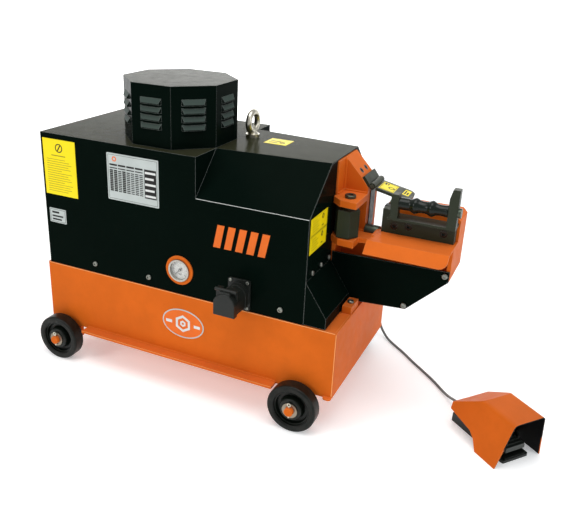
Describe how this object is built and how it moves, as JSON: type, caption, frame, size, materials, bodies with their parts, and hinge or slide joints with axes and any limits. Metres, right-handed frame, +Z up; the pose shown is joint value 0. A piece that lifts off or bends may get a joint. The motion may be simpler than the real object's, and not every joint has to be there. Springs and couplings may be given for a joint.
{
  "type": "rebar cutter",
  "caption": "Wheeled electro-hydraulic rebar cutter: orange base tank, black hood, C-shaped cutting head with guard arm and roller, and a cabled foot pedal.",
  "frame": {"origin": "on the floor, under the middle of the machine with its pedal", "axes": "+X from the motor end to the cutting head, +Y from the operator's side to the rear, +Z up"},
  "size_m": [1.4784, 0.6773, 0.87],
  "materials": {
    "orange_paint": "semi-gloss",
    "hood_paint": "semi-gloss",
    "dark_paint": "satin",
    "motor_paint": "satin",
    "zinc": "satin",
    "steel": "ground",
    "blade_steel": "ground",
    "black_oxide": "oiled",
    "chrome_rod": "polished",
    "tyre_rubber": "matt",
    "hub_iron": "painted",
    "black_plastic": "matt",
    "cable_rubber": "matt",
    "label_yellow": "printed film",
    "plate_silver": "satin",
    "dial_white": "satin",
    "needle_black": "satin",
    "roller_black": "gloss",
    "fan_plastic": "matt"
  },
  "bodies": {
    "machine": {"base_tank": "orange_paint", "tank_lid": "orange_paint", "wheel_axles": "orange_paint", "axle_washers": "zinc", "split_pins": "zinc", "hood_shell": "hood_paint", "hood_end_panel": "hood_paint", "motor_cover": "hood_paint", "cover_bolts": "black_oxide", "lifting_eyebolt": "zinc", "gauge_flange": "orange_paint", "gauge_case": "zinc", "gauge_dial": "dial_white", "inlet_housing": "black_plastic", "pivot_pins": "black_oxide", "warning_labels": "label_yellow", "rating_plates": "plate_silver", "motor_housing": "motor_paint", "fan_cowl": "motor_paint", "bellhousing": "motor_paint", "gear_pump": "motor_paint", "valve_block": "zinc", "pressure_hose": "cable_rubber", "cylinder_barrel": "orange_paint", "cylinder_gland": "steel", "fixed_blade": "blade_steel", "head_frame": "orange_paint", "jaw_plate": "dark_paint", "socket_screws": "black_oxide", "hex_stop_bolt": "black_oxide", "guard_bracket": "dark_paint", "roller_bracket": "dark_paint", "bar_shelf": "orange_paint", "side_cover": "hood_paint", "bar_rest": "black_oxide", "pedal_base": "black_plastic", "pedal_guard": "orange_paint", "pedal_spring": "steel", "cable_glands": "black_plastic", "pedal_cable": "cable_rubber"},
    "wheel_front_motor_end": {"tyre_front_motor_end": "tyre_rubber", "hub_front_motor_end": "hub_iron"},
    "wheel_front_head_end": {"tyre_front_head_end": "tyre_rubber", "hub_front_head_end": "hub_iron"},
    "wheel_rear_motor_end": {"tyre_rear_motor_end": "tyre_rubber", "hub_rear_motor_end": "hub_iron"},
    "wheel_rear_head_end": {"tyre_rear_head_end": "tyre_rubber", "hub_rear_head_end": "hub_iron"},
    "gauge_needle": {"gauge_needle": "needle_black"},
    "inlet_lid": {"inlet_lid": "black_plastic"},
    "rotor": {"motor_rotor": "steel", "cooling_fan": "fan_plastic", "shaft_coupling": "steel"},
    "ram": {"ram": "chrome_rod", "blade_carrier": "steel", "moving_blade": "blade_steel"},
    "hex_stop": {"hex_stop": "dark_paint"},
    "guard_arm": {"guard_arm": "dark_paint"},
    "bar_roller": {"bar_roller": "roller_black"},
    "pedal_treadle": {"pedal_treadle": "black_plastic"}
  },
  "joints": [
    {"name": "wheel_front_motor_end_roll", "type": "hinge", "parent": "machine", "child": "wheel_front_motor_end", "pos_m": [-0.66924, -0.251, 0.07], "axis": [0, 1, 0], "continuous": true},
    {"name": "wheel_front_head_end_roll", "type": "hinge", "parent": "machine", "child": "wheel_front_head_end", "pos_m": [0.11676, -0.251, 0.07], "axis": [0, 1, 0], "continuous": true},
    {"name": "wheel_rear_motor_end_roll", "type": "hinge", "parent": "machine", "child": "wheel_rear_motor_end", "pos_m": [-0.66924, 0.273, 0.07], "axis": [0, 1, 0], "continuous": true},
    {"name": "wheel_rear_head_end_roll", "type": "hinge", "parent": "machine", "child": "wheel_rear_head_end", "pos_m": [0.11676, 0.273, 0.07], "axis": [0, 1, 0], "continuous": true},
    {"name": "gauge_needle_turn", "type": "hinge", "parent": "machine", "child": "gauge_needle", "pos_m": [-0.25724, -0.216, 0.373], "axis": [0, 1, 0], "range_deg": [0, 270], "stiffness_Nm_per_rad": 0.01},
    {"name": "inlet_lid_hinge", "type": "hinge", "parent": "machine", "child": "inlet_lid", "pos_m": [-0.06924, -0.295, 0.3885], "axis": [-1, 0, 0], "range_deg": [0, 120], "stiffness_Nm_per_rad": 0.2, "springref_deg": -17.19},
    {"name": "motor_spin", "type": "hinge", "parent": "machine", "child": "rotor", "pos_m": [-0.35624, -0.043, 0.56], "axis": [0, 0, 1], "continuous": true},
    {"name": "ram_slide", "type": "slide", "parent": "machine", "child": "ram", "axis": [1, 0, 0], "range_m": [0, 0.046]},
    {"name": "hex_stop_turn", "type": "hinge", "parent": "machine", "child": "hex_stop", "pos_m": [0.16076, -0.039, 0.544], "axis": [0, 0, 1], "continuous": true},
    {"name": "guard_arm_lift", "type": "hinge", "parent": "machine", "child": "guard_arm", "pos_m": [0.19826, 0.066, 0.6265], "axis": [0, -1, 0], "range_deg": [0, 100]},
    {"name": "bar_roller_spin", "type": "hinge", "parent": "machine", "child": "bar_roller", "pos_m": [0.35476, -0.017, 0.608], "axis": [1, 0, 0], "continuous": true},
    {"name": "pedal_press", "type": "hinge", "parent": "machine", "child": "pedal_treadle", "pos_m": [0.58355, -0.01836, 0.019], "axis": [0.6347, 0.7727, 0], "range_deg": [0, 6], "stiffness_Nm_per_rad": 30, "springref_deg": -2.86, "deforming": ["pedal_spring"]}
  ]
}
